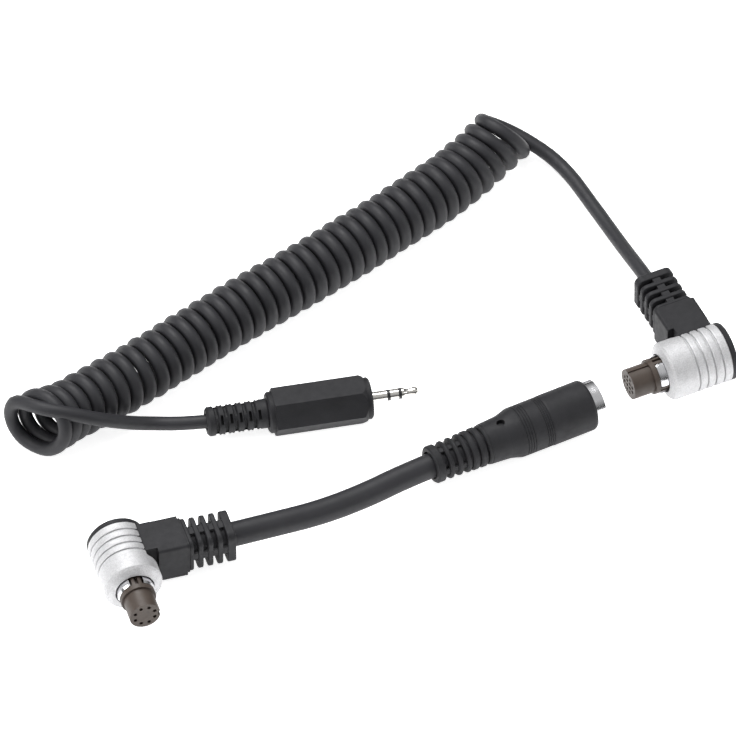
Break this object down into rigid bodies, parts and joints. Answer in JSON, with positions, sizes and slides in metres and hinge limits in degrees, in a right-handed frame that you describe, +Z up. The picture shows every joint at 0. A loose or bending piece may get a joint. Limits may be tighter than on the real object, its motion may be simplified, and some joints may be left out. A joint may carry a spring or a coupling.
{
  "type": "cable shutter release",
  "caption": "Coiled remote-release lead from a small round jack to a right-angle latching camera plug, with a short adaptor lead that ends in an in-line socket.",
  "frame": {"origin": "on the table, at the bottom centre of the box round the connectors", "axes": "+Z up; +X along the longer side of the laid-out set, from the adaptor's plug towards the coiled lead's plug; -Y towards the viewer"},
  "size_m": [0.1618, 0.1516, 0.0156],
  "materials": {
    "bright_chrome": "polished",
    "conductor_sleeves": "satin",
    "contact_black": "gloss",
    "contact_nickel": "polished",
    "cord_rubber": "satin",
    "insert_brown": "satin",
    "moulding_black": "matte",
    "relief_rubber": "matte",
    "sleeve_aluminium": "satin",
    "spring_steel": "satin"
  },
  "bodies": {
    "coiled_lead": {"coil_cord": "cord_rubber", "jack_body": "moulding_black", "jack_cable_clamp": "spring_steel", "jack_cable_end": "cord_rubber", "jack_conductors": "conductor_sleeves", "jack_ring_contact": "contact_nickel", "jack_ring_insulator": "contact_black", "jack_sleeve_contact": "contact_nickel", "jack_strain_relief": "relief_rubber", "jack_tail_cord": "cord_rubber", "jack_tip_contact": "contact_nickel", "jack_tip_insulator": "contact_black", "plug_a_barrel": "bright_chrome", "plug_a_cable_clamp": "spring_steel", "plug_a_cable_end": "cord_rubber", "plug_a_conductors": "conductor_sleeves", "plug_a_contacts": "contact_nickel", "plug_a_housing": "moulding_black", "plug_a_inner_lid": "moulding_black", "plug_a_insert": "insert_brown", "plug_a_sleeve_spring": "spring_steel", "plug_a_spring_seat": "spring_steel", "plug_a_strain_relief": "relief_rubber", "plug_tail_cord": "cord_rubber"},
    "adaptor_lead": {"adaptor_cord": "cord_rubber", "plug_b_barrel": "bright_chrome", "plug_b_cable_clamp": "spring_steel", "plug_b_cable_end": "cord_rubber", "plug_b_conductors": "conductor_sleeves", "plug_b_contacts": "contact_nickel", "plug_b_housing": "moulding_black", "plug_b_inner_lid": "moulding_black", "plug_b_insert": "insert_brown", "plug_b_sleeve_spring": "spring_steel", "plug_b_spring_seat": "spring_steel", "plug_b_strain_relief": "relief_rubber", "socket_body": "moulding_black", "socket_cable_clamp": "spring_steel", "socket_cable_end": "cord_rubber", "socket_conductors": "conductor_sleeves", "socket_insulator": "contact_black", "socket_pins": "contact_nickel", "socket_shell": "bright_chrome", "socket_strain_relief": "relief_rubber"},
    "sleeve_a": {"plug_a_back_cap": "moulding_black", "plug_a_release_sleeve": "sleeve_aluminium"},
    "sleeve_b": {"plug_b_back_cap": "moulding_black", "plug_b_release_sleeve": "sleeve_aluminium"},
    "claw_a1": {"plug_a_latch_claw_1": "bright_chrome"},
    "claw_a2": {"plug_a_latch_claw_2": "bright_chrome"},
    "claw_a3": {"plug_a_latch_claw_3": "bright_chrome"},
    "claw_b1": {"plug_b_latch_claw_1": "bright_chrome"},
    "claw_b2": {"plug_b_latch_claw_2": "bright_chrome"},
    "claw_b3": {"plug_b_latch_claw_3": "bright_chrome"}
  },
  "joints": [
    {"name": "adaptor_lift", "type": "slide", "parent": "coiled_lead", "child": "adaptor_lead", "axis": [0, 0, 1], "range_m": [0, 0.04]},
    {"name": "sleeve_a_release", "type": "slide", "parent": "coiled_lead", "child": "sleeve_a", "axis": [0.9018, 0.4321, 0], "range_m": [0, 0.0015], "stiffness_N_per_m": 600, "springref_m": -0.001, "deforming": ["plug_a_sleeve_spring"]},
    {"name": "claw_a1_retract", "type": "slide", "parent": "coiled_lead", "child": "claw_a1", "axis": [-0.3211, 0.6702, -0.6691], "range_m": [0, 0.0003]},
    {"name": "claw_a2_retract", "type": "slide", "parent": "coiled_lead", "child": "claw_a2", "axis": [0.4109, -0.8577, -0.309], "range_m": [0, 0.0003]},
    {"name": "claw_a3_retract", "type": "slide", "parent": "coiled_lead", "child": "claw_a3", "axis": [-0.0898, 0.1875, 0.9781], "range_m": [0, 0.0003]},
    {"name": "sleeve_b_release", "type": "slide", "parent": "adaptor_lead", "child": "sleeve_b", "axis": [-0.2823, 0.9593, 0], "range_m": [0, 0.0015], "stiffness_N_per_m": 600, "springref_m": -0.001, "deforming": ["plug_b_sleeve_spring"]},
    {"name": "claw_b1_retract", "type": "slide", "parent": "adaptor_lead", "child": "claw_b1", "axis": [0.8308, 0.2445, -0.5], "range_m": [0, 0.0003]},
    {"name": "claw_b2_retract", "type": "slide", "parent": "adaptor_lead", "child": "claw_b2", "axis": [0, 0, 1], "range_m": [0, 0.0003]},
    {"name": "claw_b3_retract", "type": "slide", "parent": "adaptor_lead", "child": "claw_b3", "axis": [-0.8308, -0.2445, -0.5], "range_m": [0, 0.0003]}
  ],
  "couplings": [
    {"joint": "claw_a1_retract", "follows": "sleeve_a_release", "ratio": 0.2},
    {"joint": "claw_a2_retract", "follows": "sleeve_a_release", "ratio": 0.2},
    {"joint": "claw_a3_retract", "follows": "sleeve_a_release", "ratio": 0.2},
    {"joint": "claw_b1_retract", "follows": "sleeve_b_release", "ratio": 0.2},
    {"joint": "claw_b2_retract", "follows": "sleeve_b_release", "ratio": 0.2},
    {"joint": "claw_b3_retract", "follows": "sleeve_b_release", "ratio": 0.2}
  ]
}
